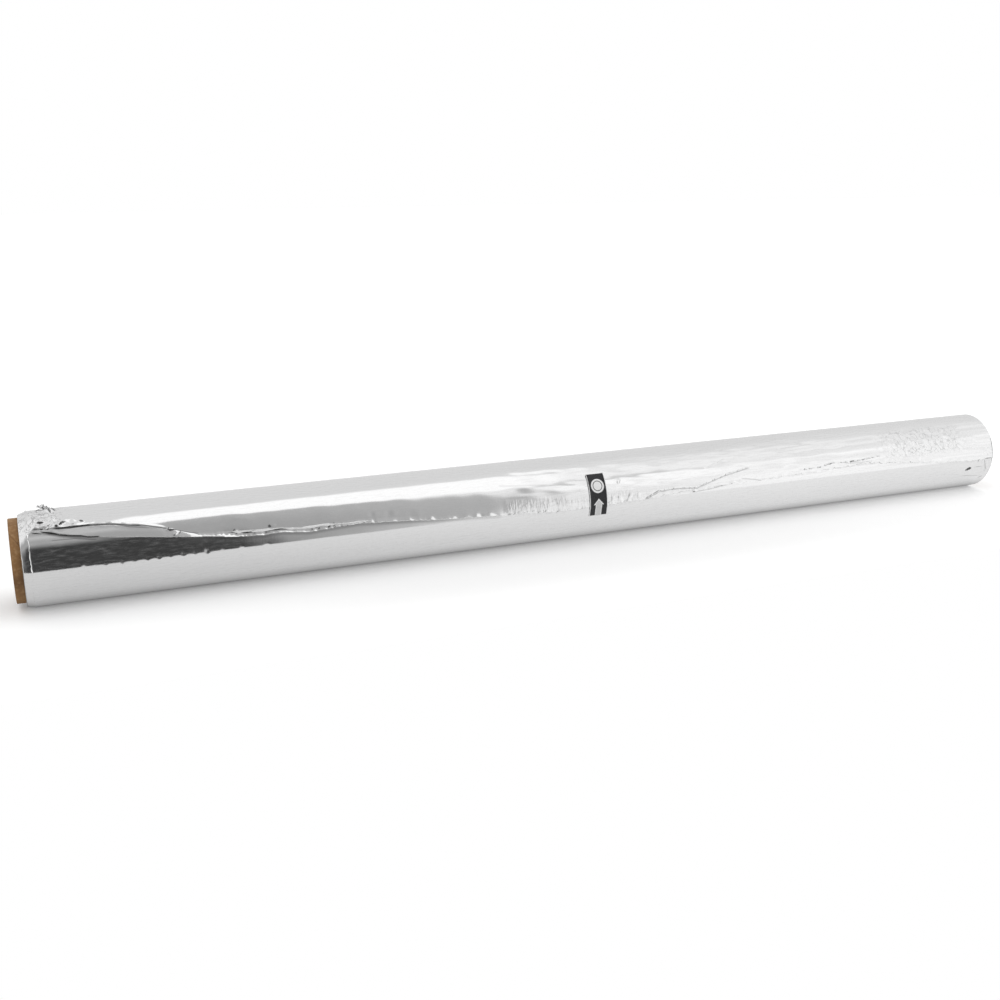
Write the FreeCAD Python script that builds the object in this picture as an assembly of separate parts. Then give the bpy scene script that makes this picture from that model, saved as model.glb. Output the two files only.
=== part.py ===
import FreeCAD, Part
import math
import os

os.makedirs("parts", exist_ok=True)

# Household foil roll, in millimetres, lying on its side along X.
# The camera side is -Y, +Z is up, and the origin is on the floor under the middle of the roll.
# Angles round the roll are in degrees: 0 faces the front, 90 is the top, 180 the back.

# The paper core
core_diameter = 32.0
core_wall = 1.75
core_stickout = 3.5
core_recess = 1.0
core_edge_break = 0.3

# The wound foil
foil_width = 450.0
roll_diameter = 36.3
ply = 0.12
core_gap = 0.05
loose_left = 2.8
loose_right = 0.3
inner_turns_drop = 0.1
flat_width = 6.0

# The left edge of the roll is pressed in all round
pressed_length = 2.8
pressed_depth = 1.0

# The turns that show on both ends, as a shallow spiral
end_turns = 4
turn_land = 0.55
turn_depth = 0.15

# The free end of the foil, along the roll: distance from the left edge, angle
free_edge = [
    (0, 48), (10, 47), (23, 37), (42, 29), (65, 20), (86, 14), (94, 15), (105, 11), (125, 14.5),
    (155, 8), (187, 2.5), (213, -1.5), (251, 1), (276, 6.5), (313, 9), (370, 15.5), (392, 11),
    (417, 4), (450, 1),
]
# The pleat in the free end, and the folded hem that follows it
pleat_line = [(0, 53), (14, 51), (33, 51), (42, 44), (53, 33), (70, 21)]
pleat_start = 8.0
pleat_end = 70.0
pleat_shut = 44.0
pleat_tuck = 2.5
hem_line = [(76, 24), (94, 21), (105, 18), (121, 17), (130, 18)]
hem_start = 74.0
hem_end = 128.0
fold_run_in = 5.0
pleat_plies = 4.0
tucked_plies = 1.5
hem_plies = 2.0
fold_slack = 12.0

# The loose corner stands off the roll, most just before the hem begins
corner_start = 9.0
corner_end = 79.0
corner_lift = 0.35

# How the free end lifts off the turn below
root_angle = 106.0
root_sink = 0.05
lip_gap = 0.10
lip_reach = 3.0
tip_taper = 0.5
seat_depth = 0.6
seat_points = (0.1, 0.5, 0.9)  # shares of the way from the free edge to the root

# The crumpled corner at the left, with two families of creases that cross
crumple_length = 30.0
crumple_low = 46.0
crumple_high = 104.0
crumple_height = 1.1
creases = [(4.6, 15.0), (7.7, -11.5)]  # distance from crease to crease, along the roll and in degrees

# Stations along the free end, close together where it is folded
close_step = 1.7
close_length = 34.0
fine_step = 2.8
fine_length = 132.0
coarse_step = 11.0
steps_above_fold = 12
steps_below_fold = 6

# The adhesive tab that holds the free end down
tab_width = 8.5
tab_thickness = 0.1
tab_gap = 0.04
tab_place = 231.2
tab_top_angle = 45.0
tab_bottom_angle = -14.0
tab_ramp = 5.0

roll_radius = roll_diameter / 2
turn_radius = roll_radius - ply
core_radius = core_diameter / 2
bore_radius = core_radius - core_wall
foil_bore = core_radius + core_gap
total_length = core_stickout + foil_width
foil_left = core_stickout - total_length / 2
foil_right = foil_left + foil_width
core_length = total_length - core_recess

bottom_share = (270 - root_angle) / 360
bottom_radius = roll_radius - ply * bottom_share
axis_height = math.sqrt(bottom_radius ** 2 - (flat_width / 2) ** 2)
along = FreeCAD.Vector(1, 0, 0)


def on_roll(x, angle, radius):
    turn = math.radians(angle)
    return FreeCAD.Vector(x, -radius * math.cos(turn), axis_height + radius * math.sin(turn))


def turn_below(angle):
    """Radius of the foil that the free end lies on, at an angle short of the root."""
    return roll_radius - ply * (1 - (root_angle - angle) / 360)


def between(points, place):
    """Height of a line through the points, level beyond both ends."""
    if place <= points[0][0]:
        return points[0][1]
    for (start, low), (end, high) in zip(points, points[1:]):
        if place <= end:
            return low + (high - low) * (place - start) / (end - start)
    return points[-1][1]


def tube(left, length, outer, inner):
    start = FreeCAD.Vector(left, 0, axis_height)
    rod = Part.makeCylinder(outer, length, start, along)
    hole = Part.makeCylinder(inner, length, start, along)
    return rod.cut(hole)


def core_tube():
    core = tube(foil_left - core_stickout, core_length, core_radius, bore_radius)
    rims = [edge for edge in core.Edges if abs(edge.Length - math.tau * core_radius) < core_gap]
    return core.makeChamfer(core_edge_break, rims)


def spiral(x, radius, growth, half_turns):
    """Half circles end to end, each growing by the same amount, as a wound sheet does."""
    arcs = []
    for i in range(half_turns):
        angle = root_angle + 180 * i
        start = on_roll(x, angle, radius + growth * i)
        end = on_roll(x, angle + 180, radius + growth * (i + 1))
        bulge = on_roll(x, angle + 90, (end - start).Length / 2) - on_roll(x, angle, 0)
        arcs.append(Part.Arc(start, (start + end) * 0.5 + bulge, end).toShape())
    return arcs


def outer_turn():
    """The outermost turn, which stands one ply higher where the free end leaves it."""
    x = foil_left + loose_left
    outline = spiral(x, roll_radius, -ply / 2, 2)
    step = Part.makeLine(on_roll(x, root_angle, turn_radius), on_roll(x, root_angle, roll_radius))
    face = Part.Face(Part.Wire(outline + [step]))
    return face.extrude(along * (foil_width - loose_left - loose_right))


def inner_turns():
    """The turns below the loose one, with their left edge bent in by a round shoulder."""
    radius = turn_radius - inner_turns_drop
    shoulder = foil_left + pressed_length
    bend = (pressed_length ** 2 + pressed_depth ** 2) / (2 * pressed_depth)
    half_way = bend - math.sqrt(bend ** 2 - (pressed_length / 2) ** 2)
    full = on_roll(shoulder, 90, radius)
    middle = on_roll(shoulder - pressed_length / 2, 90, radius - half_way)
    pressed = on_roll(foil_left, 90, radius - pressed_depth)
    outside = [on_roll(foil_left, 90, roll_radius), on_roll(shoulder, 90, roll_radius)]
    edges = [Part.Arc(full, middle, pressed).toShape()]
    edges += list(Part.makePolygon([pressed] + outside + [full]).Edges)
    taken_off = Part.Face(Part.Wire(edges)).revolve(on_roll(0, 0, 0), along, 360)
    return tube(foil_left, foil_width, radius, foil_bore).cut(taken_off)


def end_groove(x, direction, radius):
    """A spiral groove between the turns on one end of the roll."""
    pitch = (radius - foil_bore) / end_turns
    half_turns = 2 * (end_turns - 1)
    near = foil_bore + pitch * turn_land / 2
    far = near + pitch * (1 - turn_land)
    rise = pitch * (end_turns - 1)
    first = Part.makeLine(on_roll(x, root_angle, near), on_roll(x, root_angle, far))
    last = Part.makeLine(on_roll(x, root_angle, near + rise), on_roll(x, root_angle, far + rise))
    walls = spiral(x, near, pitch / 2, half_turns) + spiral(x, far, pitch / 2, half_turns)
    outline = Part.Wire(Part.__sortEdges__(walls + [first, last]))
    return Part.Face(outline).extrude(along * direction * turn_depth)


def fold_angle(place):
    if place < pleat_end:
        return between(pleat_line, place)
    return between(hem_line, place)


def run_in(distance):
    return max(0.0, min(1.0, distance / fold_run_in))


def pleat_share(place):
    """1 where the pleat is fully folded, fading towards both of its ends."""
    return run_in(place - pleat_start) * min(1.0, (pleat_end - place) / (pleat_end - pleat_shut))


def fold_heights(place):
    """Height over the turn below, above and below the fold line."""
    pleat = max(0.0, pleat_share(place))
    hem = run_in(place - hem_start) * run_in(hem_end - place)
    above = ply * (1 + (pleat_plies - 1) * pleat)
    return above, ply * (1 + (tucked_plies - 1) * pleat + hem_plies * hem)


def tuck(place):
    """How far the lower ply runs in under the pleat."""
    return pleat_tuck * run_in(place - pleat_start) * run_in(pleat_shut - place)


def edge_lift(place):
    """How far the free edge stands off what it lies on."""
    return lip_gap + corner_lift * run_in(place - corner_start) * run_in(corner_end - place)


def ridge(value):
    """Sharp ridges and valleys between 0 and 1, one for each whole number."""
    return abs(2 * (value - math.floor(value)) - 1)


def crumple(place, angle):
    if place >= crumple_length or not crumple_low < angle < crumple_high:
        return 0.0
    fade = min(1.0, 2 * (1 - place / crumple_length))
    middle = (crumple_low + crumple_high) / 2
    fade *= 1 - abs(angle - middle) / (crumple_high - middle)
    height = crumple_height * fade
    for pitch, turn in creases:
        height *= ridge(place / pitch + angle / turn)
    return height


def loose_section(place):
    """The free end cut across the roll: its skin, lifted lip and seat in the turns below."""
    x = foil_left + place
    edge = between(free_edge, place)
    fold = max(fold_angle(place), edge + lip_reach)
    above, below = fold_heights(place)
    points = [on_roll(x, root_angle + lip_reach, roll_radius - root_sink)]
    for i in range(1, steps_above_fold + 1):
        angle = root_angle + (fold - root_angle) * i / steps_above_fold
        relax = math.exp(-(angle - fold) / fold_slack)
        height = ply + (above - ply) * relax + crumple(place, angle)
        points.append(on_roll(x, angle, turn_below(angle) + height))
    foot = fold + tuck(place) - tip_taper * (1 - tuck(place) / pleat_tuck)
    lift = edge_lift(place)
    for i in range(steps_below_fold + 1):
        angle = foot + (edge - foot) * i / steps_below_fold
        height = below + lift * (i / steps_below_fold) ** 2
        points.append(on_roll(x, angle, turn_below(angle) + height))
    points.append(on_roll(x, edge, turn_below(edge) + lift))
    points.append(on_roll(x, edge + lip_reach, turn_radius - seat_depth / 2))
    for share in seat_points:
        angle = edge + (root_angle - edge) * share
        points.append(on_roll(x, angle, turn_radius - seat_depth))
    return Part.makePolygon(points + points[:1])


def stations(start, end, step):
    count = round((end - start) / step)
    return [start + (end - start) * i / count for i in range(count)]


def loose_end():
    left = loose_left + root_sink
    right = foil_width - loose_right - root_sink
    places = stations(left, close_length, close_step) + stations(close_length, fine_length, fine_step)
    places += stations(fine_length, right, coarse_step) + [right]
    return Part.makeLoft([loose_section(place) for place in places], True, True)


def foil_roll():
    foil = inner_turns().fuse(outer_turn()).fuse(loose_end())
    bore = Part.makeCylinder(
        foil_bore, foil_width * 2, FreeCAD.Vector(-foil_width, 0, axis_height), along
    )
    foil = foil.cut(bore)
    full = turn_radius - inner_turns_drop
    foil = foil.cut(end_groove(foil_left, 1, full - pressed_depth))
    foil = foil.cut(end_groove(foil_right, -1, full))
    floor = Part.makeBox(
        foil_width * 2, roll_diameter * 2, roll_diameter,
        FreeCAD.Vector(-foil_width, -roll_diameter, -roll_diameter),
    )
    return foil.cut(floor)


def arc(x, start, end, radius):
    middle = on_roll(x, (start + end) / 2, radius)
    return Part.Arc(on_roll(x, start, radius), middle, on_roll(x, end, radius)).toShape()


def start_tab():
    """The tab follows the free end, steps down over its edge and sticks to the turn below."""
    x = foil_left + tab_place - tab_width / 2
    edge = min(
        between(free_edge, tab_place - tab_width / 2), between(free_edge, tab_place + tab_width / 2)
    )
    low = turn_below(edge) + tab_gap
    high = low + ply + lip_gap
    step_top = edge - tip_taper
    step_foot = step_top - tab_ramp
    skin = high + tab_thickness
    foot_skin = low + tab_thickness
    outline = [
        arc(x, tab_top_angle, step_top, high),
        Part.makeLine(on_roll(x, step_top, high), on_roll(x, step_foot, low)),
        arc(x, step_foot, tab_bottom_angle, low),
        Part.makeLine(on_roll(x, tab_bottom_angle, low), on_roll(x, tab_bottom_angle, foot_skin)),
        arc(x, tab_bottom_angle, step_foot, foot_skin),
        Part.makeLine(on_roll(x, step_foot, foot_skin), on_roll(x, step_top, skin)),
        arc(x, step_top, tab_top_angle, skin),
        Part.makeLine(on_roll(x, tab_top_angle, skin), on_roll(x, tab_top_angle, high)),
    ]
    return Part.Face(Part.Wire(outline)).extrude(along * tab_width)


for name, make in (("core_tube", core_tube), ("foil_roll", foil_roll), ("start_tab", start_tab)):
    shape = make()
    shape.exportStep("parts/" + name + ".step")
    print(name, len(shape.Solids), "solid", round(shape.Volume, 1), "mm3", shape.isValid())
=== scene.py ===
import bpy
import math
import numpy as np
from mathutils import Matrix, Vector, noise


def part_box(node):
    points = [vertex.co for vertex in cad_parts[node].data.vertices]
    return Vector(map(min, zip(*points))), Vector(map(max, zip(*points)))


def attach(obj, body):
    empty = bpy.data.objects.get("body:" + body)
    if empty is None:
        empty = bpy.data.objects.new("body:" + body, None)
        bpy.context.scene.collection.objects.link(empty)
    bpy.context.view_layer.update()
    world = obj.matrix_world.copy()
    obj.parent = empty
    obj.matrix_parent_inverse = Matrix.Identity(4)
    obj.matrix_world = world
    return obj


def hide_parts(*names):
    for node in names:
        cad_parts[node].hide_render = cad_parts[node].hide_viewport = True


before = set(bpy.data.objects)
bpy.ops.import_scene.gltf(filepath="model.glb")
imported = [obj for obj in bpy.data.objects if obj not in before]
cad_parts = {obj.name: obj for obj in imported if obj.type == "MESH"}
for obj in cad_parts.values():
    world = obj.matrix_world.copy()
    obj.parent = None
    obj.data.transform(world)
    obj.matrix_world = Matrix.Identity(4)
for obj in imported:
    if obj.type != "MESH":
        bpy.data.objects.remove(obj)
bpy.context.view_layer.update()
print("frame loaded")

# Sizes read from the frame, in metres
mm = 0.001
foilLow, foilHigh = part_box("foil_roll")
coreLow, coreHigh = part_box("core_tube")
foilLeft = foilLow.x
foilWidth = foilHigh.x - foilLow.x
axisHeight = (coreLow.z + coreHigh.z) / 2
coreRadius = (coreHigh.z - coreLow.z) / 2

roll = {
    "radius": 18.15 * mm,       # over the outermost turn, where the free end leaves it
    "ply": 0.12 * mm,           # what one turn adds
    "rootAngle": 106.0,         # degrees round from the front, where the free end begins
    "innerDrop": 0.1 * mm,      # the turns below the loose one are this much smaller
    "looseLeft": 2.8 * mm,      # the loose turn stops short of the left end
    "looseRight": 0.3 * mm,
}
tau = math.tau
degree = math.pi / 180
arc = roll["radius"] / mm * degree      # mm round the roll for each degree


def onRoll(x, angle, radius):  # numpy arrays or numbers, angle in degrees
    turn = np.asarray(angle) * degree
    y = -radius * np.cos(turn)
    z = np.maximum(axisHeight + radius * np.sin(turn), 0.0)
    return np.stack(np.broadcast_arrays(x, y, z), axis=-1)


def spiralRadius(angle):  # unwrapped angle: one turn on is one ply lower
    return roll["radius"] - roll["ply"] * (angle - roll["rootAngle"]) / 360


def smoothStep(value, low, high):
    t = np.clip((value - low) / (high - low), 0, 1)
    return t * t * (3 - 2 * t)


def plateau(value, begin, full, fade, end):  # 0, up to 1, and down to 0 again
    return smoothStep(value, begin, full) * (1 - smoothStep(value, fade, end))


def waves(x, y, size, seed, octaves=3):  # smooth noise between about -1 and 1 over a grid
    out = np.zeros(np.broadcast(x, y).shape)
    wide, high = (np.broadcast_to(values, out.shape).flat for values in (x, y))
    for index, (a, b) in enumerate(zip(wide, high)):
        out.flat[index] = noise.fractal(Vector((a / size, b / size, seed)), 1.0, 2.0, octaves)
    return out


def gridMesh(name, points, closeRows=False):  # points[row, column] as a sheet of quads
    rows, columns = points.shape[:2]
    index = np.arange(rows * columns).reshape(rows, columns)
    if closeRows:
        index = np.vstack([index, index[:1]])
    quads = np.stack([index[:-1, :-1], index[:-1, 1:], index[1:, 1:], index[1:, :-1]], axis=-1).reshape(-1, 4)
    mesh = bpy.data.meshes.new(name)
    mesh.from_pydata(points.reshape(-1, 3).tolist(), [], quads.tolist())
    mesh.polygons.foreach_set("use_smooth", [True] * len(mesh.polygons))
    mesh.update()
    piece = bpy.data.objects.new(name, mesh)
    bpy.context.scene.collection.objects.link(piece)
    return piece


def dress(piece, node, material):
    piece.data.materials.clear()
    piece.data.materials.append(material)
    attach(piece, "root")
    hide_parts(node)
    return piece


# Shader nodes written as maths: each Field is one socket, and an expression adds its Math nodes
class Field:
    def __init__(self, finish, socket):
        self.finish = finish
        self.socket = socket

    def math(self, operation, *others):
        values = dict(enumerate((self, *others)))
        return self.finish.add("ShaderNodeMath", {"operation": operation}, values)

    def __add__(self, other):
        return self.math("ADD", other)

    def __sub__(self, other):
        return self.math("SUBTRACT", other)

    def __rsub__(self, other):
        return (self * -1).math("ADD", other)

    def __mul__(self, other):
        return self.math("MULTIPLY", other)

    __radd__ = __add__
    __rmul__ = __mul__

    def smooth(self, low, high):  # 0 below low, 1 above high
        return self.finish.add(
            "ShaderNodeMapRange", {"interpolation_type": "SMOOTHSTEP"},
            {"Value": self, "From Min": low, "From Max": high},
        )

    def plateau(self, begin, full, fade, end):  # 0, up to 1, and down to 0 again
        return self.smooth(begin, full) * self.smooth(end, fade)

    def hump(self, centre, width):  # 1 at the centre, 0 past the width
        return 1 - (self - centre).math("ABSOLUTE").smooth(0, width)

    def veins(self, width):  # thin lines where a noise crosses its middle
        return (self - 0.5).math("ABSOLUTE").smooth(width, 0)


class Finish:
    def __init__(self, name, world=False):
        self.holder = bpy.data.worlds.new(name) if world else bpy.data.materials.new(name)
        self.holder.use_nodes = True
        self.tree = self.holder.node_tree
        self.tree.nodes.clear()
        self.output = self.tree.nodes.new("ShaderNodeOutputWorld" if world else "ShaderNodeOutputMaterial")

    def add(self, kind, settings=None, sockets=None, output=0):
        made = self.tree.nodes.new(kind)
        for key, value in (settings or {}).items():
            if key == "stops":
                ramp = made.color_ramp
                while len(ramp.elements) < len(value):
                    ramp.elements.new(0.5)
                for element, (place, colour) in zip(ramp.elements, value):
                    element.position = place
                    element.color = colour
            else:
                setattr(made, key, value)
        for key, value in (sockets or {}).items():
            if isinstance(value, Field):
                self.tree.links.new(value.socket, made.inputs[key])
            else:
                made.inputs[key].default_value = value
        return Field(self, made.outputs[output])

    def mix(self, factor, first, second):  # two colours
        return self.add("ShaderNodeMix", {"data_type": "RGBA"}, {0: factor, 6: first, 7: second}, 2)

    def vector(self, x, y, z):
        return self.add("ShaderNodeCombineXYZ", None, {0: x, 1: y, 2: z})

    def noise(self, x, y, z, detail):
        sockets = {"Vector": self.vector(x, y, z), "Scale": 1.0, "Detail": detail}
        return self.add("ShaderNodeTexNoise", None, sockets)

    def rays(self, kind):  # 1 for rays of that kind
        return self.add("ShaderNodeLightPath", output="Is " + kind + " Ray")

    def surface(self, shader):
        self.tree.links.new(shader.socket, self.output.inputs["Surface"])
        return self.holder

    def split(self, vector):
        parts = self.add("ShaderNodeSeparateXYZ", None, {0: vector})
        return [Field(self, socket) for socket in parts.socket.node.outputs]

    def place(self):  # position, with the height counted from the roll's axis
        x, y, z = self.split(self.add("ShaderNodeNewGeometry"))
        return x, y, z - axisHeight

    def through(self, field, points):  # a value that runs through points, drawn as a ramp
        first, last = points[0][0], points[-1][0]
        low, high = (limit(value for _, value in points) for limit in (min, max))
        span = high - low or 1
        stops = []
        for at, value in points:
            share = (value - low) / span
            stops.append(((at - first) / (last - first), (share, share, share, 1)))
        place = (field - first) * (1 / (last - first))
        return self.add("ShaderNodeValToRGB", {"stops": stops}, {"Fac": place}) * span + low


# The free edge of the foil and the fold near it: mm along the roll from its left edge, degrees round it
leftEdge = [
    (0, 48), (9.5, 47.5), (14, 43), (23, 37), (33, 32), (42, 29), (52, 25), (65, 20.5), (75, 16.5),
    (86, 14), (94, 15), (105, 11), (115, 13), (125, 14.5), (142, 11.3), (155, 8), (168, 5.5), (187, 2.6),
]
rightEdge = [
    (187, 2.6), (194, 1.8), (213, -1.5), (225, -0.8), (251, 1.1), (261, 3.3), (276, 6.7), (291, 8.4),
    (313, 9), (335, 11), (357, 13.4), (370, 15.5), (381, 13), (392, 11), (417, 3.7), (435, -0.6),
    (450, 0.8),
]
foldLine = [
    (0, 53), (10, 51), (14, 50.5), (25, 51.5), (33, 50), (38, 46.5), (42, 44), (47, 39), (53, 34),
    (60, 27), (66, 22.5), (70, 20.5), (75, 23), (86, 21), (94, 20.6), (102, 17.7), (111, 19), (121, 16.7),
    (128, 16.4),
]

# The aluminium
foilLook = {
    "colour": (0.91, 0.91, 0.912, 1),
    "shade": (0.10, 0.10, 0.10, 1),     # colour of the painted shade, deep in a sharp crease or under a lifted edge
    "roughness": 0.085,
    "roughnessVary": 0.05,
    "tornRoughness": 0.20,      # more in the torn corner
    "scuff": 0.10,              # pale scratches too fine to mirror anything
    "lineHeight": 0.0000018,    # rolling lines round the roll
    "streakHeight": 0.0000025,  # long soft streaks along it
    "grainHeight": 0.0000016,   # short fine streaks
    "puckers": 0.00007,         # upright wrinkles where the free end is glued down
    # painted shade along the glue wrinkles
    "puckerShade": 0.12,
    "dabs": 0.00003,            # where the glue line shows through at the free edge
    "glueSpan": (186.5, 189, 256, 266),
    "crazing": 0.00016,         # crinkles near the right end
    "markRaggedness": 2.4,            # how ragged the marks of painted shade are
    "creaseRun": 3,             # mm over which a crease runs out at its ends
    # how dark the painted shade is just under the free edge and under the fold, along the roll
    "shadeUnderEdge": [(0, 0), (8, 0.1), (10, 0.85), (18, 0.8), (27, 0.4), (42, 0.28), (60, 0.2), (72, 0.55),
                  (80, 0.4), (128, 0.35), (185, 0.25), (187, 0)],
    "shadeUnderFold": [(0, 0), (11, 0), (14, 0.8), (30, 0.8), (36, 0.6), (41, 0.5), (46, 0.3), (50, 0.1), (54, 0),
                  (187, 0)],
    # painted shade under the free edge right of the tab
    "shadeUnderRightEdge": 0.1,
    # how far down from the fold the painted shade reaches, in degrees
    "foldShade": [(0, 0.6), (13, 1.8), (24, 1.8), (33, 2.6), (38, 4.4), (42, 4.2), (47, 2.0), (52, 0.6),
                  (187, 0.6)],
}

# Noise in the metal: how fine it is along the roll and across it, by metres, and its detail
metalNoise = {
    "lines": (1900, 45, 2),
    "streaks": (12, 500, 3),
    "grain": (320, 2100, 3),
    "cloud": (60, 160, 3),
    "scratches": (260, 1500, 4),
}
# Noise in the skin: how fine it is along the roll, by mm, and round it, by degrees, its seed and its detail
skinNoise = {
    "gluePatches": (0.16, 0.09, 1, 2),
    "flecks": (0.55, 0.15, 2, 2),
    "puckers": (0.8, 0.06, 3, 4),
    "markRagging": (1.7, 0.5, 4, 2),
    "dabs": (0.45, 0.2, 5, 2),
    "small": (0.5, 0.13, 6, 3),
    "large": (0.26, 0.085, 7, 2),
    "crazing": (0.42, 0.13, 8, 4),
}
# Crumpled places: where each begins, is full, fades and ends, in mm along the roll and in degrees round it
crumpledPlaces = {
    "torn": ((-2, -1, 10, 20), (46, 54, 92, 102)),
    "worn": ((378, 396, 424, 438), (14, 24, 54, 70)),
    "pressed": ((441, 446, 460, 462), (-34, -20, 14, 24)),
}
# How dark the painted shade along the small and large wrinkles is in each
wrinkleShade = {"torn": (0.5, 0), "worn": (0.12, 0.28), "pressed": (0.2, 0)}

# Lines of small folds and of painted shade: points (mm along, degrees round), height and half width in mm,
# how broken, how dark the painted shade along them is
creases = [
    ([(253, 0.5), (261, 10.4), (270, 11.7), (280, 9.1), (295, 22), (309, 29.4)], 0.12, 0.75, 0.6, 0.40),
    ([(278, 3.5), (286, 5.0), (296, 8.5)], 0.10, 0.40, 0.65, 0.35),
    ([(302.6, 15.3), (314.2, 8.7)], -0.08, 0.40, 0.2, 0.35),
    # painted shade only, with no fold: two soft dark streaks
    ([(186, 43.5), (200.6, 39.2), (222, 33)], 0, 0.9, 0.3, 0.16),
    ([(184, 27), (205, 25.3), (224, 25)], 0, 1.6, 0.5, 0.10),
    ([(284, 34), (286.8, 36.5), (295.5, 44.7), (298, 46)], 0.12, 0.40, 0.8, 0.10),
    ([(326.3, 53.1), (346.1, 55.3)], 0.04, 0.40, 0.1, 0.14),
    ([(324, 46.1), (338, 49.3)], 0.03, 0.40, 0.1, 0.12),
    ([(334, 16), (337.9, 17.3), (346.3, 17.6), (353.9, 22), (363.5, 20.3), (369.3, 21), (382.3, 24.7)],
     0.13, 0.60, 0.9, 0.38),
    ([(360, 18.5), (372, 17.5), (377, 18)], 0.10, 0.35, 0.7, 0.3),
    ([(296, 62), (318, 66)], 0.03, 0.5, 0.4, 0.1),
    # painted shade only, under the free edge, below it and under the fold at the left
    ([(6.5, 50), (11.3, 46.4), (13.9, 42.9), (17, 40.8), (21, 39.2), (23.4, 36.6), (28, 35.4)],
     0, 0.50, 0.15, 0.95),
    ([(10, 37.2), (18.5, 36.3), (27, 32)], 0, 0.40, 0.3, 0.5),
    ([(11.5, 51), (14.2, 50.8), (17.6, 49.8), (22.6, 50.6), (27.6, 50), (31.1, 49.5), (35.1, 47.3),
      (43, 42.5)], 0, 0.50, 0.1, 1.0),
]

# Short marks of painted shade in sharp folds: place, angle, half length and half width in mm, turn in
# degrees, how dark
shadeMarks = [
    # nick and creases at the right rim
    (435.4, -13.4, 1.9, 0.60, 25, 1.0), (445.9, -11, 3.6, 0.25, -69, 0.5),
    (447.0, 0.9, 2.6, 0.25, 2, 0.55), (441.5, -12, 2.6, 0.22, 0, 0.35), (438.5, -28, 6.0, 0.22, -7, 0.3),
    (446.0, -33.5, 1.6, 0.3, 20, 0.45), (449.5, 20, 4.4, 0.35, 90, 0.6), (449.4, 1, 2.5, 0.25, 90, 0.4),
    (441.0, -1.5, 1.1, 0.3, 70, 0.4),
    # along the creases right of the tab
    (278.4, 3.9, 0.8, 0.35, 0, 0.7), (242.2, 30, 1.4, 0.25, 58, 0.3), (352.4, 20.5, 0.8, 0.3, 20, 0.4),
    (364.6, 20.8, 1.3, 0.34, 5, 0.65), (346.3, 17.4, 0.8, 0.3, 0, 0.3), (371, 21.3, 1.0, 0.3, 0, 0.35),
    # crumpled left corner
    (7.3, 84.4, 0.9, 0.45, 30, 0.85), (7.6, 60.3, 1.3, 0.38, -6, 0.95), (13.0, 52.9, 0.6, 0.42, 0, 0.95),
    (15.1, 56.3, 1.5, 0.45, 36, 0.95), (21.8, 57.0, 1.0, 0.32, -30, 0.85),
    (18.7, 53.9, 0.6, 0.22, 0, 0.7), (7.8, 51.7, 0.6, 0.32, 0, 0.8), (11.1, 81.1, 1.8, 0.35, -70, 0.85),
    (12.6, 81.3, 0.9, 0.3, 0, 0.7), (5.8, 47.8, 2.2, 0.24, -14, 0.6), (5.4, 66, 2.2, 0.2, 78, 0.35),
    (9.4, 66, 1.6, 0.2, -50, 0.3), (9.4, 88.6, 0.6, 0.3, -20, 0.8), (10.9, 86, 1.0, 0.35, -50, 0.85),
    (10.4, 55.4, 0.7, 0.25, 30, 0.6),
    # along the hem
    (53.0, 33.4, 1.3, 0.38, -12, 0.95), (52.0, 35.2, 0.7, 0.25, 60, 0.8), (56.0, 29.0, 0.8, 0.3, 52, 0.6),
    (82.0, 20.2, 3.0, 0.2, 12, 0.4),
]


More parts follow.
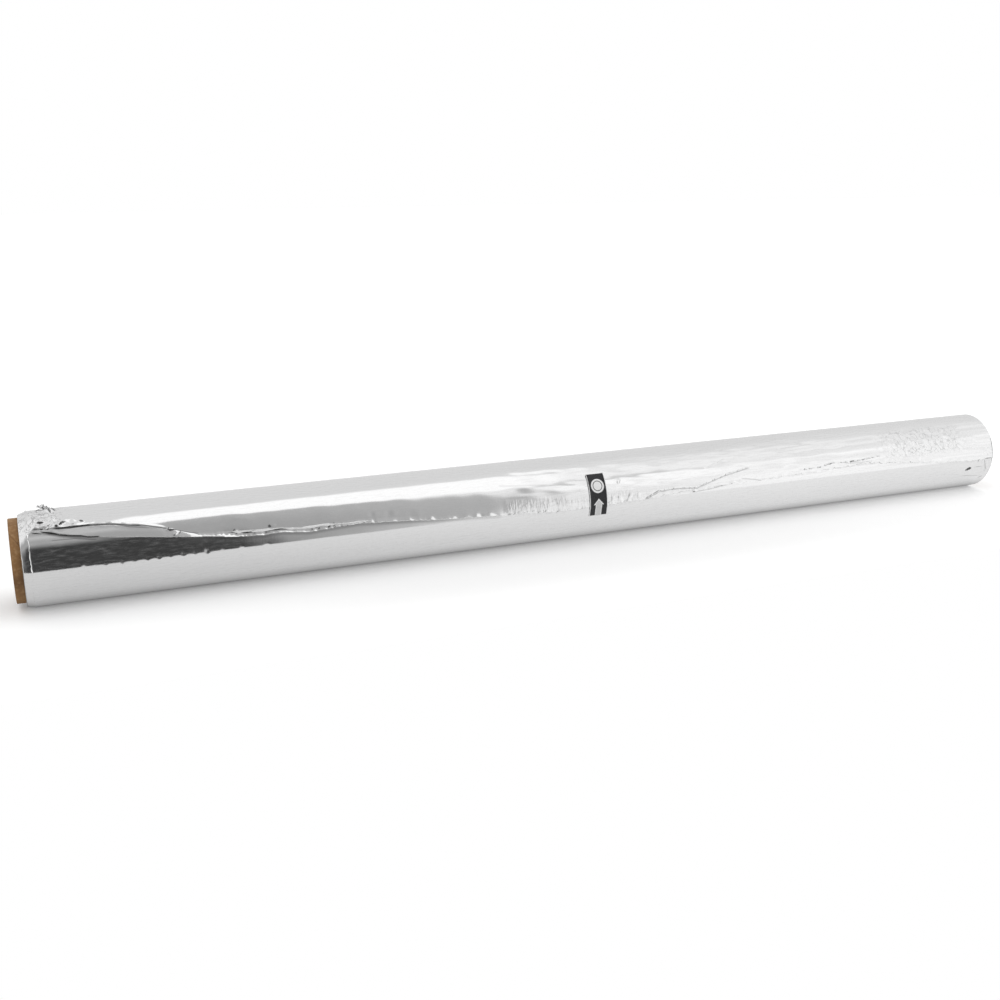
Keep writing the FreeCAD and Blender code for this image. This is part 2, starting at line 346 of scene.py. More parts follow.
def makeFoilFinish():
    finish = Finish("bright foil")
    x, y, z = finish.place()
    s = (x - foilLeft) * (1 / mm)
    angle = z.math("ARCTAN2", y * -1) * (1 / degree)

    def metal(name):
        along, across, detail = metalNoise[name]
        return finish.noise(x * along, y * across, z * across, detail)

    def skin(name):
        along, around, seed, detail = skinNoise[name]
        return finish.noise(s * along, angle * around, seed, detail)

    relief = metal("lines") * foilLook["lineHeight"] + metal("streaks") * foilLook["streakHeight"]
    relief = relief + metal("grain") * foilLook["grainHeight"]

    # where the free end is glued down, left and right of the tab
    above = angle - finish.through(s, rightEdge)
    glueLine = s.plateau(*foilLook["glueSpan"])
    glued = glueLine * above.plateau(-0.5, 1.5, 10, 24) * (0.3 + 0.7 * skin("gluePatches").smooth(0.35, 0.65))
    dabs = glueLine * above.plateau(-0.4, 0.6, 2, 5) * skin("dabs").smooth(0.4, 0.65)
    puckers = skin("puckers")
    relief = relief + glued * puckers * foilLook["puckers"] + dabs * foilLook["dabs"]
    # painted shade along the glue wrinkles
    shade = puckers.veins(0.06) * glued * foilLook["puckerShade"]

    # crumpled places, with painted shade along their wrinkles
    small, large = skin("small").veins(0.03), skin("large").veins(0.035)
    crumpled = {}
    for name, (along, around) in crumpledPlaces.items():
        crumpled[name] = s.plateau(*along) * angle.plateau(*around)
        smallShade, largeShade = wrinkleShade[name]
        shade = shade + crumpled[name] * (small * smallShade + large * largeShade)
    relief = relief + (crumpled["worn"] + crumpled["pressed"]) * skin("crazing") * foilLook["crazing"]

    # painted shade under the free edge and under the fold
    flecks = skin("flecks")
    leftAbove = angle - finish.through(s, leftEdge)
    shade = shade + leftAbove.plateau(-5, -1.2, -0.2, 0.3) * finish.through(s, foilLook["shadeUnderEdge"])
    rightUnder = above.plateau(-4, -1, -0.2, 0.3) * s.smooth(186, 188) * flecks.smooth(0.4, 0.6)
    shade = shade + rightUnder * foilLook["shadeUnderRightEdge"]
    belowFold = finish.through(s, foldLine) - angle
    pastShade = belowFold - finish.through(s, foilLook["foldShade"])
    nearFold = belowFold.smooth(-0.3, 0.3) * pastShade.smooth(0.5, -0.5)
    shade = shade + nearFold * finish.through(s, foilLook["shadeUnderFold"])

    # each crease raises a small fold and paints shade just below it
    for points, height, half, broken, dark in creases:
        off = (angle - finish.through(s, points)) * arc
        start, end, run = points[0][0], points[-1][0], foilLook["creaseRun"]
        tent = off.math("ABSOLUTE").smooth(half, 0) * s.plateau(start, start + run, end - run, end)
        tent = tent * (1 - broken * flecks.smooth(0.55, 0.45))
        relief = relief + tent * (height * mm)
        shade = shade + (off + half * 0.5).math("ABSOLUTE").smooth(half, 0) * tent.smooth(0, 0.3) * dark
    # short marks of painted shade, with ragged outlines
    markRagging = (skin("markRagging") - 0.5) * foilLook["markRaggedness"]
    for place, turnedTo, half, width, turn, dark in shadeMarks:
        a, b = s - place, (angle - turnedTo) * arc
        c, d = math.cos(turn * degree), math.sin(turn * degree)
        along, across = (a * c + b * d) * (1 / half), (b * c - a * d) * (1 / width)
        shade = shade + (along * along + across * across + markRagging).smooth(1.1, 0.6) * dark

    # the painted shade darkens the foil towards the shade colour
    colour = finish.mix(shade.math("MINIMUM", 1), foilLook["colour"], foilLook["shade"])
    normal = finish.add("ShaderNodeBump", None, {"Strength": 1.0, "Distance": 1.0, "Height": relief})
    rough = foilLook["roughness"] + (metal("cloud") - 0.5) * foilLook["roughnessVary"]
    rough = rough + crumpled["torn"] * foilLook["tornRoughness"]
    bright = 1 - metal("scratches").smooth(0.42, 0.75) * foilLook["scuff"]
    shader = finish.add("ShaderNodeBsdfPrincipled", None, {
        "Base Color": colour, "Metallic": bright, "Roughness": rough, "Normal": normal,
    })
    return finish.surface(shader)


foilFinish = makeFoilFinish()

# The free end of the foil, by points along the roll, with heights in mm
freeEnd = {
    # how torn the edge is
    "ragged": [(0, 0.1), (66, 0.1), (75, 0.2), (128, 0.3), (187, 0.3), (200, 0.45), (450, 0.45)],
    # how high it stands over the turn below: at the edge, just below the fold and just above it
    "edgeLift": [(0, 0.1), (9, 0.12), (11, 0.3), (18, 0.26), (25, 0.24), (33, 0.3), (42, 0.42), (50, 0.55),
                 (60, 0.55), (67, 0.6), (72, 0.75), (75, 0.6), (78, 0.36), (124, 0.34), (132, 0.1)],
    "belowFold": [(0, 0.05), (9, 0.1), (14, 0.3), (33, 0.34), (42, 0.12), (53, 0.12), (66, 0.05),
                  (75, 0.05), (79, 0.34), (124, 0.34), (132, 0.05), (142, 0)],
    "aboveFold": [(0, 0.05), (9, 0.12), (14, 0.7), (24, 0.55), (33, 0.32), (42, 0.2), (53, 0.18),
                  (66, 0.1), (72, 0)],
    # degrees that the lower ply runs in under the fold
    "tuck": [(0, 0), (11, 0), (15, 2.5), (35, 2.0), (43, 0.0)],
    # how far the very edge turns up, how unevenly it does, and how wide that lip is
    "lip": [(0, 0.02), (66, 0.04), (80, 0.16), (126, 0.2), (132, 0.38), (180, 0.4), (187, 0.12),
            (262, 0.08), (275, 0.12), (450, 0.12)],
    "dotted": [(0, 0.4), (130, 0.4), (187, 0.5), (262, 0.7), (275, 1.4), (320, 1.0), (336, 2.6),
               (372, 2.2), (390, 1.0), (450, 1.0)],
    "lipWidth": 0.45,
    "hemSpan": (71, 76, 126, 132),
    "hemWave": 0.13,            # the folded hem is dished along its middle
    "hemRound": 1.2,            # and bulges where it turns over
    "foldSlack": 3.6,           # mm over which the foil comes down again above the fold
    "rim": 0.12,                # how far the left edge stands up
    "rimWander": 0.4,           # how far it wanders along the roll
    "unevenness": 0.03,         # slow waves over the whole skin
    # those waves: length along in mm, length round in degrees, phase
    "slowWaves": [(31, 69, 0.3), (17, 111, 1.9), (47, 45, 4.0), (11, 57, 2.2)],
}

# Crumpled places of the loose turn: height and pitch of the creases in mm, seed and layers
crumples = {
    "torn": (0.22, 2.0, 4, 4),
    "loose": (0.08, 4.5, 9, 4),
    "worn": (0.11, 3.0, 17, 5),
}
softHeight = 0.16               # soft waves in the middle of the roll
wornStray = 8                   # mm by which the border of the worn patch strays

# Sharp little folds: place, angle, half length, run below, run above, height (all in mm), turn in degrees
nicks = [
    (7.6, 60.5, 1.3, 0.5, 2.6, 0.65, -6), (13.0, 53.2, 0.7, 0.5, 1.4, 0.45, 8),
    (15.0, 56.5, 1.2, 0.7, 1.6, 0.7, 34), (21.8, 57.2, 0.9, 0.5, 1.2, 0.45, -28),
    (10.8, 81, 2.0, 0.6, 2.2, 0.95, -34), (12.6, 81.5, 1.1, 0.4, 1.2, 0.7, 22),
    (7.4, 84, 1.0, 0.45, 1.6, 0.8, 24), (10.3, 51.6, 0.8, 0.5, 0.8, 0.25, 30),
    (8.9, 84.5, 1.4, 0.4, 1.2, 0.6, -50), (5.6, 68, 2.4, 0.8, 3.2, 0.35, 70),
    (13.4, 66, 2.6, 1.6, 3.0, 0.25, -40), (18.5, 63, 3.2, 2.0, 3.5, 0.2, 12),
    (51.6, 34.0, 0.6, 0.4, 0.5, 0.16, 70), (52.9, 33.0, 0.9, 0.5, 0.7, 0.16, -8),
    (54.6, 28.5, 1.2, 0.5, 0.7, 0.2, 50), (77.0, 21.5, 1.1, 0.5, 0.8, 0.22, -40),
    (90.8, 24.5, 1.4, 0.5, 0.5, 0.10, 0), (79.5, 37.5, 3.4, 0.5, 0.5, 0.04, -6),
    (435.8, -15.0, 2.4, 0.6, 0.9, 0.5, 26), (241.8, 30, 1.2, 0.5, 0.7, 0.14, 62),
    (238.0, 5.0, 2.2, 0.7, 1.2, 0.08, 74), (242.0, 5.4, 2.0, 0.6, 1.4, 0.08, 104),
    (246.4, 6.4, 2.4, 0.7, 1.2, 0.08, 68), (250.8, 7.2, 1.8, 0.7, 1.2, 0.07, 98),
    (278.4, 3.9, 1.0, 0.5, 0.7, 0.24, 8), (45.3, 41.8, 7.0, 0.35, 0.5, 0.10, -15),
]
# Soft round dents: place, angle, radius, depth in mm
dents = [
    (43.6, 3.2, 0.7, 0.072), (47.6, 2.6, 0.8, 0.084), (56.6, 3.4, 0.8, 0.072), (65.4, 2.4, 0.9, 0.096),
    (88, -1, 0.9, 0.048), (20.7, 1, 0.7, 0.072), (24.6, 1.6, 0.5, 0.048), (28.5, 2.5, 0.6, 0.072),
    (34.3, 2.3, 0.7, 0.072), (38.8, 2.8, 0.5, 0.048), (51.8, 3.0, 0.6, 0.048), (60.9, 2.9, 0.6, 0.06),
    (71.2, 1.4, 0.6, 0.048), (78.4, 0.8, 0.7, 0.048), (130.5, 24.3, 0.9, 0.0648),
    (132.5, 23, 0.9, -0.0336), (137.5, 22.6, 1.2, 0.0768), (140, 21.4, 1.2, -0.0432),
    (146.8, 18.8, 1.4, 0.0432), (150, 18, 1.2, -0.0336),
]


def alongLine(points, place):
    return np.interp(place, [p[0] for p in points], [p[1] for p in points])


def smoothNoise(a, size, seed):  # one value for each entry of a
    return np.array([noise.noise(Vector((v / size, seed, 0.5))) for v in a])


def looseColumns():  # close together where the foil is folded or crumpled
    left = roll["looseLeft"] / mm
    right = foilWidth / mm - roll["looseRight"] / mm
    rim = left + np.array([0, 0.12, 0.25, 0.4, 0.6, 0.85])
    spans = [(left + 1.2, 132, 0.42), (132, 187, 0.8), (187, 265, 0.6), (265, 375, 1.1)]
    spans.append((375, right - 0.3, 0.6))
    return np.concatenate([rim, *(np.arange(*span) for span in spans), [right]])


def crowd(count, power=1.6):  # 0 to 1, crowded at both ends
    t = np.linspace(-1, 1, count)
    return (np.sign(t) * (1 - (1 - np.abs(t)) ** power) + 1) / 2


def makeOuterTurn():
    s = looseColumns()
    edge = alongLine(leftEdge + rightEdge, s)
    jag = smoothNoise(s, 1.7, 3.0) + 0.7 * smoothNoise(s, 0.7, 8.0)
    edge = edge + alongLine(freeEnd["ragged"], s) * jag / arc
    fold = np.maximum(alongLine(foldLine, s) + 0.5 * smoothNoise(s, 4.0, 5.0), edge + 3.0)
    tuck = alongLine(freeEnd["tuck"], s)
    hem = plateau(s, *freeEnd["hemSpan"])
    lift, below, above = (alongLine(freeEnd[key], s) for key in ("edgeLift", "belowFold", "aboveFold"))
    lip = alongLine(freeEnd["lip"], s) * (1 + alongLine(freeEnd["dotted"], s) * smoothNoise(s, 2.3, 12.0))
    dish = 1 + 0.8 * smoothNoise(s, 6.0, 21.0)
    root = roll["rootAngle"]
    rows = []                                       # angle, height over the turn below, in mm
    for t in (1, 0.6, 0.3, 0.12):                   # underside of the lip
        rows.append((edge + 9 * t, (lift + lip) * (1 - t) ** 2 - 0.06))
    for t in crowd(22):                             # from the edge to the fold
        height = lift + (below - lift) * t ** (1 + 1.5 * smoothStep(below, 0.3, 0.6))
        bulge = freeEnd["hemRound"] * np.exp(-((t - 1) / 0.09) ** 2)
        height = height + hem * freeEnd["hemWave"] * dish * (np.cos(tau * t) - 1 + bulge)
        rows.append((edge + (fold + tuck - edge) * t, height))
    foot = fold + 0.1 + 0.15 * hem                  # never on the row before, which would spoil the shading
    for t in np.linspace(0, 1, 46)[:-1] ** 1.35:    # from the fold to where the sheet lies flat
        height = above * np.exp(-t * (root - foot) * arc / freeEnd["foldSlack"])
        rows.append((foot + (root - foot) * t, height))
    for angle in np.arange(root, 300, 12.0):        # over the top and down the back
        rows.append((np.full_like(s, angle), 0 * s))
    for t in np.linspace(0, 1, 44):                 # the turn below, up to under the free end
        rows.append((300 + (360 + edge + 7 - 300) * t, 0 * s))
    angle = np.array([row[0] for row in rows])
    height = np.array([row[1] for row in rows])
    distance = (angle - edge) * arc
    height[4:] += np.where(angle[4:] < 200, lip * np.exp(-np.abs(distance[4:]) / freeEnd["lipWidth"]), 0)
    place = np.broadcast_to(s, angle.shape)
    height += skinRelief(place, angle)
    wander = freeEnd["rimWander"] * np.array([noise.noise(Vector((a * 0.35, 1.5, 0))) for a in angle[:, 0]])
    shift = wander[:, None] * np.exp(-(place - s[0]) / 0.7)
    radius = spiralRadius(angle) + height * mm
    piece = gridMesh("outer_turn", onRoll(foilLeft + (place + shift) * mm, angle, radius))
    dress(piece, "foil_roll", foilFinish)
    print("outer turn", len(piece.data.polygons))


def ridges(value):  # sharp ridges and valleys between 0 and 1
    return np.abs(2 * (value - np.floor(value)) - 1)


def creased(u, v, pitch, seed, layers):  # flat facets that meet in sharp creases, as crumpled foil has
    draw = np.random.default_rng(seed)
    warp = waves(u, v, pitch * 2.2, seed, 2)
    height = 0
    for _ in range(layers):
        turn, size, start = draw.uniform(0, math.pi), pitch * draw.uniform(0.7, 1.9), draw.uniform()
        height = height + size * ridges((u * math.cos(turn) + v * math.sin(turn)) / size + start + 0.8 * warp)
    return height / layers


def crumple(name, s, angle):
    height, pitch, seed, layers = crumples[name]
    return height * creased(s, angle * arc, pitch, seed, layers)


def skinRelief(s, angle):
    height = np.zeros_like(angle)
    front = angle < 200
    wrapped = np.where(front, angle, angle - 360)

    # the torn corner and the slack foil round it
    near = (s < 34) & (angle < 112)
    part, row = s[near], angle[near]
    torn = plateau(part, 3.2, 5.5, 11, 17) * plateau(row, 50, 55, 88, 97)
    loose = plateau(part, 3.0, 5.0, 18, 32) * plateau(row, 44, 54, 92, 106)
    height[near] += torn * crumple("torn", part, row) + loose * crumple("loose", part, row)

    # the worn patch near the right end, which has no straight border
    near = (s > 372) & (s < 442) & front & (angle < 90)
    part, row = s[near], angle[near]
    stray = wornStray * waves(part, row * arc, 7.0, 41, 2)
    top = 58 - 0.25 * (part - 390) + stray
    worn = plateau(part + stray, 376, 394, 424, 438)
    worn = worn * smoothStep(row + stray, 14, 28) * (1 - smoothStep(row, top, top + 14))
    worn = worn * (0.3 + 0.7 * smoothStep(waves(part, row * arc, 6.0, 31, 2), -0.3, 0.4))
    height[near] += worn * crumple("worn", part, row)

    # soft waves between the tab and that patch
    near = (s > 180) & (s < 372) & front
    part, row = s[near], angle[near]
    soft = plateau(part, 185, 200, 350, 371) * plateau(row, 12, 30, 70, 95)
    height[near] += softHeight * soft * waves(part / 5.0 + row * arc * 0.5, row * arc, 3.4, 5.0, 2)

    for place, turnedTo, half, low, high, peak, turn in nicks:
        near = (np.abs(s - place) < half + 4) & (np.abs(wrapped - turnedTo) < 16)
        a, b = s[near] - place, (wrapped[near] - turnedTo) * arc
        c, d = math.cos(turn * degree), math.sin(turn * degree)
        along, across = a * c + b * d, b * c - a * d
        tent = np.clip(1 - np.abs(across) / np.where(across < 0, low, high), 0, 1)
        height[near] += peak * tent * np.clip(2.5 - 2.5 * np.abs(along) / half, 0, 1)
    for place, turnedTo, size, depth in dents:
        spot = (s - place) ** 2 + ((wrapped - turnedTo) * arc) ** 2
        height -= depth * np.exp(-spot / size ** 2)
    slow = np.zeros_like(angle)
    for k, (alongLength, roundLength, phase) in enumerate(freeEnd["slowWaves"]):
        slow += np.sin(tau * (s / alongLength + angle / roundLength) + phase) / (k + 1.5)
    height += slow * freeEnd["unevenness"] * np.where(front, 0.6, 0.3)
    rough = np.array([noise.noise(Vector((a * 0.3, 4.5, 0))) for a in angle[:, 0]])[:, None]
    return height + freeEnd["rim"] * (1 + 1.8 * rough) * np.exp(-(s - s[0, 0]) / 0.2)


makeOuterTurn()

# A scrap of the torn corner that stands up over the top of the roll
scrap = {
    "root": (12.6, 84.0),       # place and angle
    "tip": (6.9, 92.0),
    "width": 2.0,
    "lean": 0.5,                # how far its upper edge leans back
    "rise": 1.5,
    "crumple": 0.45,
}


def makeScrap():
    (rootPlace, rootAngle), (tipPlace, tipAngle) = scrap["root"], scrap["tip"]
    t, across = np.meshgrid(np.linspace(0, 1, 34), np.linspace(0, 1, 13), indexing="ij")
    taper = (0.35 + 0.65 * np.sin(math.pi * np.clip(t * 0.9 + 0.05, 0, 1))) * (1 - 0.6 * t ** 4)
    width = scrap["width"] * taper * (1 + 0.5 * waves(t * 6, 0 * t, 1.0, 3, 2))
    s = rootPlace + (tipPlace - rootPlace) * t + 0.5 * waves(t * 4, across * 1.5, 1.0, 6, 2) * across
    height = -0.1 + scrap["rise"] * smoothStep(t, 0.25, 1.0) + across * width
    crumpled = scrap["crumple"] * (ridges(t * 4.5 + across * 0.8) + ridges(t * 3.1 - across * 1.4) - 1)
    angle = rootAngle + (tipAngle - rootAngle) * t + (across * scrap["lean"] + crumpled) / arc
    radius = spiralRadius(angle) + height * mm
    piece = gridMesh("torn_scrap", onRoll(foilLeft + s * mm, angle, radius))
    dress(piece, "foil_roll", foilFinish)
    print("torn scrap", len(piece.data.polygons))


makeScrap()

# The wound turns below, whose ends show as a spiral
ends = {
    "taper": 2.8 * mm,          # the left edge of the roll is pressed in over this length
    "taperDepth": 1.0 * mm,
    "turns": 4,
    "relief": 0.15 * mm,        # depth of the spiral
    "bumps": 0.10 * mm,         # on the pressed edge
    "bore": 16.05 * mm,
}


def makeInnerTurns():
    full = roll["radius"] - roll["ply"] - roll["innerDrop"]
    angle = np.linspace(0, 360, 241)[:-1]
    upper = smoothStep(np.sin((angle - 15) * degree), 0.1, 0.8)
    pressed = 0.35 + 0.65 * upper
    pressed = pressed * (1 + 0.25 * upper * np.array([noise.noise(Vector((a / 9, 2.5, 7))) for a in angle]))
    profile = []
    for side, x in ((-1, foilLeft), (1, foilLeft + foilWidth)):
        outer = full - pressed * ends["taperDepth"] * (side < 0)
        face = []
        for share in np.linspace(0, 1, 29):
            r = ends["bore"] + (outer - ends["bore"]) * share
            turn = share * ends["turns"] - (angle - roll["rootAngle"]) / 360
            groove = smoothStep(np.abs((turn % 1) - 0.5), 0.22, 0.3)
            face.append(onRoll(x - side * ends["relief"] * (1 - groove), angle, r))
        profile.append(face)
    left, right = profile
    skin = []
    for t in np.linspace(0.03, 1, 12):
        dip = pressed * (1 - t) ** 1.5
        spots = [Vector((math.cos(a * degree) * 7, math.sin(a * degree) * 7, t * 2)) for a in angle]
        bumps = np.array([noise.noise(spot) for spot in spots]) * (1 - t) ** 0.5
        bumps = ends["bumps"] * (0.2 + 0.8 * upper) * bumps
        skin.append(onRoll(foilLeft + ends["taper"] * t, angle, full - dip * ends["taperDepth"] + bumps))
    skin += [onRoll(foilLeft + foilWidth * t, angle, full) for t in (0.02, 0.98, 0.9995)]
    tube = [onRoll(foilLeft + foilWidth * t, angle, ends["bore"]) for t in (0.9995, 0.0005)]
    rings = left + skin + right[::-1] + tube
    points = np.array(rings).transpose(1, 0, 2)
    points = np.concatenate([points, points[:, :1]], axis=1)
    piece = gridMesh("inner_turns", points, closeRows=True)
    dress(piece, "foil_roll", foilFinish)
    print("inner turns", len(piece.data.polygons))


makeInnerTurns()

# The paper core
core = {
    "colour": (0.30, 0.158, 0.056, 1),
    "pale": (0.44, 0.275, 0.135, 1),
    "dark": (0.19, 0.095, 0.034, 1),
    "wall": 1.75 * mm,
    "edge": 0.25 * mm,
    "seamPitch": 62 * mm,
    "fibreScale": 900,
    "cloudScale": 120,
    "roughness": 0.72,
}


def makePaperFinish():
    finish = Finish("kraft paper")
    x, y, z = finish.place()
    fibre = finish.noise(*(value * core["fibreScale"] for value in (x, y, z)), 5)
    cloud = finish.noise(*(value * core["cloudScale"] for value in (x, y, z)), 3)
    colour = finish.mix(cloud.smooth(0.3, 0.7), core["dark"], core["colour"])
    colour = finish.mix(fibre.smooth(0.45, 0.8) * 0.6, colour, core["pale"])
    turned = z.math("ARCTAN2", y * -1) * (1 / tau) + x * (1 / core["seamPitch"])
    seam = (turned.math("FRACT") - 0.5).math("ABSOLUTE").smooth(0.006, 0.002)
    colour = finish.mix(seam * 0.7, colour, core["dark"])
    normal = finish.add("ShaderNodeBump", None, {"Strength": 0.6, "Distance": 0.0001, "Height": fibre})
    shader = finish.add("ShaderNodeBsdfPrincipled", None, {
        "Base Color": colour, "Roughness": core["roughness"], "Normal": normal,
    })
    return finish.surface(shader)


paperFinish = makePaperFinish()


def makeCore():
    angle = np.linspace(0, 360, 161)[:-1]
    left, right = coreLow.x, coreHigh.x
    inner = coreRadius - core["wall"]
    edge = core["edge"]
    corner = edge * 0.3
    profile = [(left, inner), (left, coreRadius - edge), (left + corner, coreRadius - corner)]
    profile += [(left + edge, coreRadius), (left + 1.5 * mm, coreRadius), (left + 5 * mm, coreRadius)]
    profile += [(right - 5 * mm, coreRadius), (right - edge, coreRadius)]
    profile += [(right - corner, coreRadius - corner), (right, coreRadius - edge), (right, inner)]
    profile += [(right - 10 * mm, inner), (left + 10 * mm, inner), (left, inner)]
    points = np.array([onRoll(x, angle, r) for x, r in profile]).transpose(1, 0, 2)
    piece = gridMesh("core_paper", points, closeRows=True)
    return dress(piece, "core_tube", paperFinish)


makeCore()

# The black tab, printed with a plain pale disc and an arrow that points up the roll
tab = {
    "place": 231.1,             # middle, in mm from the foil's left edge
    "width": 8.3,
    "top": 45.2,                # angles
    "bottom": -14.0,
    "thickness": 0.1 * mm,
    "black": (0.022, 0.022, 0.024, 1),
    "blackFleck": (0.040, 0.040, 0.042, 1),
    "white": (0.86, 0.86, 0.86, 1),
    "grey": (0.66, 0.66, 0.66, 1),
    "disc": (0.1, 27.2, 3.05),  # across in mm, angle, radius in mm
    "ring": 2.1,
    "arrowTip": 10.1,           # angles
    "arrowBase": 1.8,
    "arrowHalf": 2.45,          # mm
    "shaftHalf": 1.5,
    "margin": 0.35,
    "roughness": 0.45,
    "glossLevel": 0.3,
    "curl": 0.12 * mm,          # the long sides lift a little
    "bow": 0.14,                # and bow, in mm
    "overLoose": 0.24 * mm,     # how high it lies over the loose turn's skin and over the turn below
    "overBelow": 0.06 * mm,
}


def makeTabFinish():
    finish = Finish("tab film")
    x, y, z = finish.place()
    u = (x - foilLeft) * (1 / mm) - tab["place"]
    v = z.math("ARCTAN2", y * -1) * (arc / degree)          # mm round the roll from the front
    across, height, size = tab["disc"]
    du, dv = u - across, v - height * arc
    radius = (du * du + dv * dv).math("SQRT")
    disc = 1 - radius.smooth(size - 0.12, size + 0.12)
    ring = (radius - tab["ring"]).math("ABSOLUTE")
    disc = disc * (1 - 0.85 * (1 - ring.smooth(0.10, 0.28)))
    side = u.math("ABSOLUTE")
    tip, base = tab["arrowTip"] * arc, tab["arrowBase"] * arc
    slope = tab["arrowHalf"] / (tip - base)
    head = (side - (tip - v) * slope).smooth(0.12, -0.12) * v.smooth(base - 0.1, base + 0.1)
    shaft = side.smooth(tab["shaftHalf"] + 0.12, tab["shaftHalf"] - 0.12) * v.smooth(base + 0.2, base)
    inner = (side - (tip - 0.6 - v) * slope).smooth(0.1, -0.1) * v.smooth(base, base + 0.2)
    innerShaft = side.smooth(tab["shaftHalf"] - 0.2, tab["shaftHalf"] - 0.5) * v.smooth(base + 0.2, base)
    inner = (inner + innerShaft).math("MINIMUM", 1)
    arrow = (head + shaft).math("MINIMUM", 1)
    edge = side.smooth(tab["width"] / 2 - tab["margin"], tab["width"] / 2 - 0.1)
    ends = (v - tab["top"] * arc).smooth(-tab["margin"], -0.1)
    ends = ends + (v - tab["bottom"] * arc).smooth(tab["margin"], 0.1)
    fibre = finish.noise(x * 2500, y * 2500, z * 2500, 3)
    black = finish.mix(fibre.smooth(0.4, 0.7), tab["black"], tab["blackFleck"])
    white = (disc + arrow + edge + ends).math("MINIMUM", 1)
    colour = finish.mix(white, black, tab["white"])
    colour = finish.mix(inner * arrow, colour, tab["grey"])
    normal = finish.add("ShaderNodeBump", None, {"Strength": 0.5, "Distance": 0.00002, "Height": fibre})
    shader = finish.add("ShaderNodeBsdfPrincipled", None, {
        "Base Color": colour, "Roughness": tab["roughness"], "Specular IOR Level": tab["glossLevel"],
        "Normal": normal,
    })
    return finish.surface(shader)


tabFinish = makeTabFinish()


def makeTab():
    angle = np.linspace(tab["bottom"], tab["top"], 90)
    skin = spiralRadius(angle) + tab["overLoose"]
    low = spiralRadius(angle + 360) + tab["overBelow"]
    edge = float(alongLine(rightEdge, tab["place"]))
    share = smoothStep(angle, edge - 5, edge - 0.5)
    base = low * (1 - share) + skin * share
    bow = tab["bow"] * np.sin((angle - 45) * degree * 1.5) + 0.04 * smoothNoise(angle, 9, 31.0)
    rows = []
    for lift in (0, 1):
        for across in np.linspace(-0.5, 0.5, 25) * (1 if lift else -1):
            x = tab["place"] + across * tab["width"] + bow
            curl = tab["curl"] * np.abs(across * 2) ** 6
            rows.append(onRoll(foilLeft + x * mm, angle, base + lift * tab["thickness"] + curl))
    piece = gridMesh("tab_film", np.array(rows), closeRows=True)
    dress(piece, "start_tab", tabFinish)


makeTab()
print("core and tab")

# Floor, surroundings and light
studio = {
    "floorColour": (0.27, 0.27, 0.27, 1),   # what the foil mirrors
    "floorShown": (0.97, 0.97, 0.97, 1),    # what the camera sees is paler
    "floorFront": -0.087,       # the sheet ends this far in front, and the dark room shows beyond
    "floorReach": 3.0,
    "fill": 0.48,               # more light on matt surfaces than the foil mirrors
    # how bright the foil mirrors each part of the room
    "wall": 0.88,
    "wallBehind": 0.72,
    "greyWall": 0.37,
    "darkGap": 0.045,
    "panel": 1.09,
}


def makeFloor():
    finish = Finish("floor")
    seen = finish.rays("Camera")
    x, y, z = finish.place()
    plain = finish.add("ShaderNodeBsdfDiffuse", None, {"Color": studio["floorColour"]})
    # what the foil mirrors glows with painted light, lighter to the right, with a painted shadow along the
    # foot of the roll
    clearOfPaintedShadow = y.math("ABSOLUTE").smooth(-0.002, 0.016)
    mirroredPaintedLight = clearOfPaintedShadow * (0.39 + 0.19 * x.smooth(-0.25, 0.15))
    mirroredPaintedLight = finish.add("ShaderNodeEmission", None, {"Color": finish.vector(mirroredPaintedLight, mirroredPaintedLight, mirroredPaintedLight)})
    plain = finish.add("ShaderNodeAddShader", None, {0: plain, 1: mirroredPaintedLight})
    shown = finish.add("ShaderNodeBsdfDiffuse", None, {"Color": studio["floorShown"]})
    # the camera sees the floor glow up to white, painted lighter to the right, with a painted shadow band in
    # front of the roll that fades out towards its left end
    shownPaintedGlow = 0.13 + 0.11 * x.smooth(0.0, 0.3) - 0.10 * y.hump(-0.045, 0.03) * x.smooth(-0.2, -0.05)
    shownPaintedGlow = finish.add("ShaderNodeEmission", None, {"Color": finish.vector(shownPaintedGlow, shownPaintedGlow, shownPaintedGlow)})
    shown = finish.add("ShaderNodeAddShader", None, {0: shown, 1: shownPaintedGlow})
    both = finish.add("ShaderNodeMixShader", None, {0: seen, 1: plain, 2: shown})
    mesh = bpy.data.meshes.new("floor")
    front, far = studio["floorFront"], studio["floorReach"]
    mesh.from_pydata([(-far, front, 0), (far, front, 0), (far, far, 0), (-far, far, 0)], [], [(0, 1, 2, 3)])
    piece = bpy.data.objects.new("floor", mesh)
    bpy.context.scene.collection.objects.link(piece)
    mesh.materials.append(finish.surface(both))


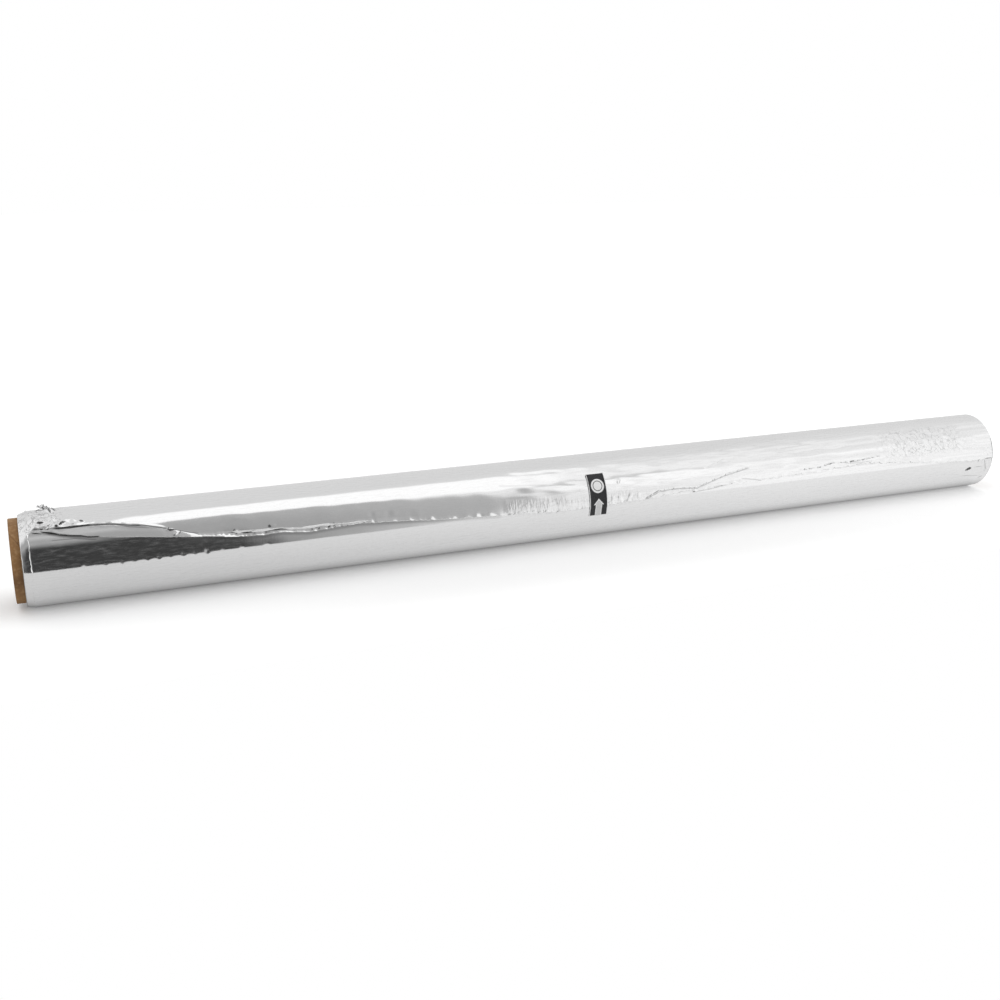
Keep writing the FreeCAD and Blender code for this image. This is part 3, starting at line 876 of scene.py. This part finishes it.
def makeWorld():
    finish = Finish("studio", world=True)
    spot = finish.add("ShaderNodeTexCoord")
    x, y, z = finish.split(spot)
    up = z.math("ARCSINE") * (1 / degree)
    around = x.math("ARCTAN2", y * -1) * (1 / degree)     # 0 towards the front, 90 to the right
    front = y * -1
    behind = around.smooth(85, 145) + around.smooth(-125, -165)
    rightSide = around.smooth(26, 35) * around.smooth(74, 58) * up.smooth(54, 38)
    streaks = (0.5 - finish.noise(x * 7, y * 7, z * 18, 2).smooth(0.35, 0.65)) * 0.14
    level = studio["wall"] + 0.11 * rightSide + streaks * around.smooth(20, 30) * up.smooth(-8, 0)
    level = level - 0.25 * around.hump(42, 14) * up.hump(48, 10)
    level = level * (1 - behind) + studio["wallBehind"] * behind
    edge = around - up * 0.17
    grey = (1 - edge.smooth(19.5, 23.5)) * around.smooth(-60, -40) * (1 - front.smooth(0.1, -0.1))
    greyLevel = studio["greyWall"] + 0.08 * around.smooth(11, 24)
    greyLevel = greyLevel + 0.16 * up.hump(67, 10) * (1 - around.smooth(8, 14))
    greyLevel = greyLevel + 0.14 * around.smooth(13, 19) * (1 - up.smooth(-8, 4))
    level = level * (1 - grey) + greyLevel * grey
    dark = (1 - (around + up * 0.06).smooth(8.5, 12)) * around.smooth(-30, -14) * (1 - up.smooth(37, 53))
    level = level * (1 - dark) + studio["darkGap"] * dark
    back = front + (0.085 - x).math("MAXIMUM", 0) * 1.8
    panel = (0.16 + x - front).smooth(-0.02, 0.02) * back.smooth(-0.17, -0.10) * x.smooth(0.005, 0.02)
    panel = panel * (1 - x.smooth(0.36, 0.46)) * up.smooth(40, 50)
    level = level * (1 - panel) + studio["panel"] * panel
    seen = finish.rays("Camera") + finish.rays("Transmission")
    level = level * (1 + finish.rays("Diffuse") * studio["fill"])
    level = level * (1 - seen) + seen
    shader = finish.add("ShaderNodeBackground", None, {"Color": finish.vector(level, level, level)})
    bpy.context.scene.world = finish.surface(shader)


def makeCamera():
    view = {"azimuth": -22.216, "elevation": 16.446, "distance": 512.77 * mm, "lens": 42.757}
    target = Vector((foilLeft + 192.69 * mm, 0, axisHeight + 1.92 * mm))
    a, e = view["azimuth"] * degree, view["elevation"] * degree
    back = Vector((math.sin(a) * math.cos(e), -math.cos(a) * math.cos(e), math.sin(e)))
    camera = bpy.data.objects.new("camera", bpy.data.cameras.new("camera"))
    bpy.context.scene.collection.objects.link(camera)
    camera.location = target + back * view["distance"]
    camera.rotation_mode = "QUATERNION"
    camera.rotation_quaternion = (-back).to_track_quat("-Z", "Y")
    camera.data.sensor_width = 36.0
    camera.data.lens = view["lens"]
    camera.data.clip_start = 0.01
    bpy.context.scene.camera = camera


makeFloor()
makeWorld()
makeCamera()
bpy.context.scene.view_settings.view_transform = "Standard"
print("studio")
